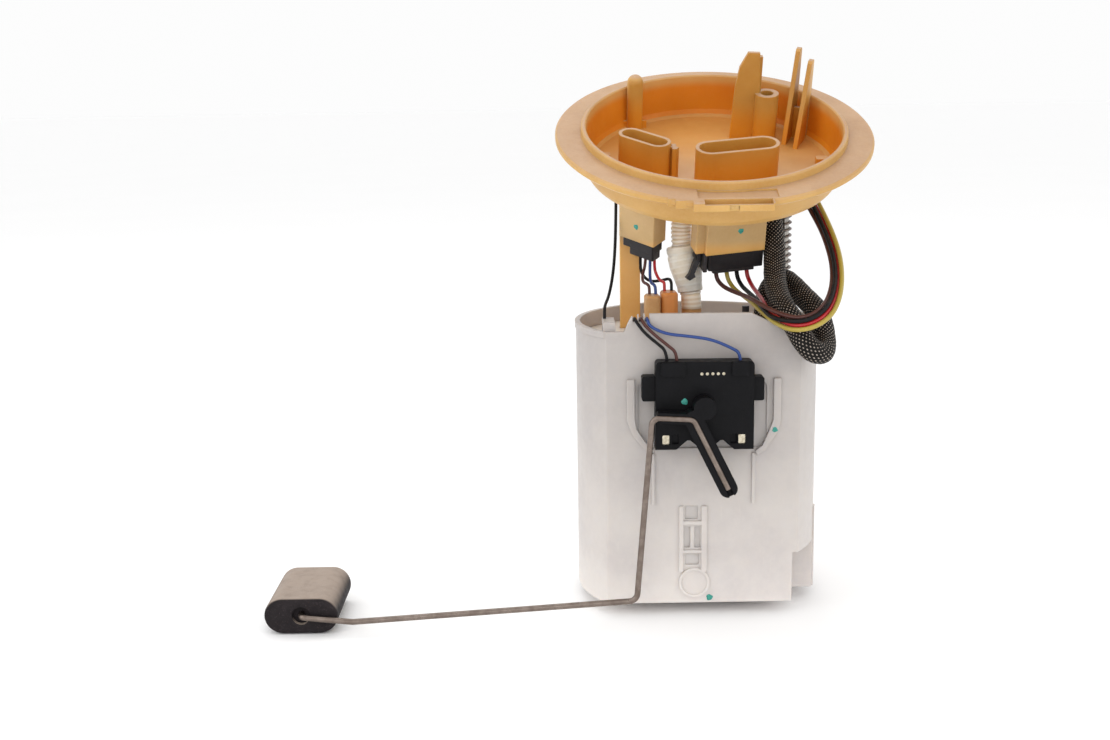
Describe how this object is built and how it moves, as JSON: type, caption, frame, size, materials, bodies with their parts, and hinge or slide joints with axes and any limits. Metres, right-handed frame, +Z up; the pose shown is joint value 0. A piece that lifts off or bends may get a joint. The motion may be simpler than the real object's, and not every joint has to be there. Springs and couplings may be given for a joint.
{
  "type": "fuel pump module",
  "caption": "In-tank fuel pump module: sprung amber flange over a round reservoir with a pump, a swinging float arm sender, hoses and leads.",
  "frame": {"origin": "underside of the centre foot of the base plate, on the reservoir's axis", "axes": "+Z up along the reservoir's axis, -Y to the level sender's side, +X to the right seen from that side; the flange leans 22.7 degrees towards -Y"},
  "size_m": [0.29, 0.1401, 0.2679],
  "materials": {
    "canister_plastic": "milky moulded plastic, slightly satin",
    "white_plastic": "moulded plastic",
    "flange_plastic": "aged amber moulded plastic",
    "tan_plastic": "tan moulded plastic",
    "orange_plastic": "orange moulded plastic",
    "black_plastic": "black moulded plastic",
    "sender_plastic": "black moulded plastic",
    "grey_plastic": "grey moulded plastic",
    "rubber_black": "black rubber",
    "float_rubber": "closed-cell rubber",
    "filter_cloth": "filter cloth",
    "pump_steel": "plated steel",
    "pump_aluminium": "die cast",
    "rotor_steel": "ground steel",
    "magnet": "ferrite",
    "terminal_metal": "tinned",
    "rod_steel": "drawn steel",
    "spring_steel": "spring steel",
    "arm_steel": "drawn steel wire",
    "card": "ceramic card",
    "clear_sleeve": "translucent sleeve",
    "hose_plastic": "corrugated nylon",
    "braided_sleeve": "black braided sleeve over the return hose",
    "lead_olive": "wire insulation",
    "lead_red": "wire insulation",
    "lead_black": "wire insulation",
    "lead_brown": "wire insulation",
    "lead_blue": "wire insulation"
  },
  "bodies": {
    "reservoir": {"reservoir": "canister_plastic", "base_plate": "canister_plastic", "pump_holder": "white_plastic", "vent_stud": "black_plastic", "return_union": "black_plastic", "pump_isolator": "rubber_black", "pump_can": "pump_steel", "pump_inlet_cover": "pump_aluminium", "pump_magnets": "magnet", "pump_end_cap": "tan_plastic", "terminal_tower_left": "tan_plastic", "terminal_tower_right": "orange_plastic", "inlet_strainer": "filter_cloth", "jet_pump": "white_plastic", "guide_spring": "spring_steel", "sender_housing": "sender_plastic", "sender_back_cover": "sender_plastic", "resistor_card": "card", "sender_pins": "terminal_metal", "sender_contact_plates": "terminal_metal", "lead_grommet": "rubber_black", "hose_coupling": "clear_sleeve", "feed_hose": "hose_plastic", "return_hose": "braided_sleeve", "side_lead": "lead_black", "pump_lead_brown": "lead_brown", "pump_lead_blue": "lead_blue", "pump_lead_red": "lead_red", "pump_lead_black": "lead_black", "sender_lead_black": "lead_black", "sender_lead_brown": "lead_brown", "sender_lead_blue": "lead_blue"},
    "flange": {"flange_cover": "flange_plastic", "left_socket_terminals": "terminal_metal", "right_socket_terminals": "terminal_metal", "left_connector": "black_plastic", "right_connector": "black_plastic", "terminal_comb": "grey_plastic", "connector_lock": "grey_plastic", "latch_bracket": "black_plastic", "guide_rod": "rod_steel", "rod_clip": "rod_steel", "lead_olive": "lead_olive", "lead_red": "lead_red", "lead_black": "lead_black", "lead_brown": "lead_brown"},
    "latch": {"connector_latch": "black_plastic"},
    "arm": {"sender_lever": "sender_plastic", "sender_wiper": "terminal_metal", "float_arm_wire": "arm_steel"},
    "float": {"float": "float_rubber"},
    "rotor": {"pump_armature": "rotor_steel"},
    "valve": {"foot_valve": "rubber_black"}
  },
  "joints": [
    {"name": "flange_slide", "type": "slide", "parent": "reservoir", "child": "flange", "axis": [0, 0, 1], "range_m": [-0.012, 0], "stiffness_N_per_m": 600, "springref_m": 0.02, "deforming": ["guide_spring", "feed_hose", "return_hose", "hose_coupling", "side_lead", "pump_lead_brown", "pump_lead_blue", "pump_lead_red", "pump_lead_black", "lead_olive", "lead_red", "lead_black", "lead_brown"]},
    {"name": "connector_latch", "type": "hinge", "parent": "flange", "child": "latch", "pos_m": [0.0005, -0.00107, 0.17008], "axis": [-0.1701, 0.9854, 0], "range_deg": [0, 10], "stiffness_Nm_per_rad": 0.05},
    {"name": "float_arm", "type": "hinge", "parent": "reservoir", "child": "arm", "pos_m": [-0.0012, -0.045, 0.1063], "axis": [0, 1, 0], "range_deg": [0, 58]},
    {"name": "float_swivel", "type": "hinge", "parent": "arm", "child": "float", "pos_m": [-0.19, -0.0316, 0.0093], "axis": [0, 1, 0], "continuous": true},
    {"name": "pump_rotor", "type": "hinge", "parent": "reservoir", "child": "rotor", "pos_m": [-0.006, 0.004, 0.085], "axis": [0, 0, 1], "continuous": true},
    {"name": "foot_valve_lift", "type": "slide", "parent": "reservoir", "child": "valve", "axis": [0, 0, 1], "range_m": [0, 0.0015]}
  ]
}
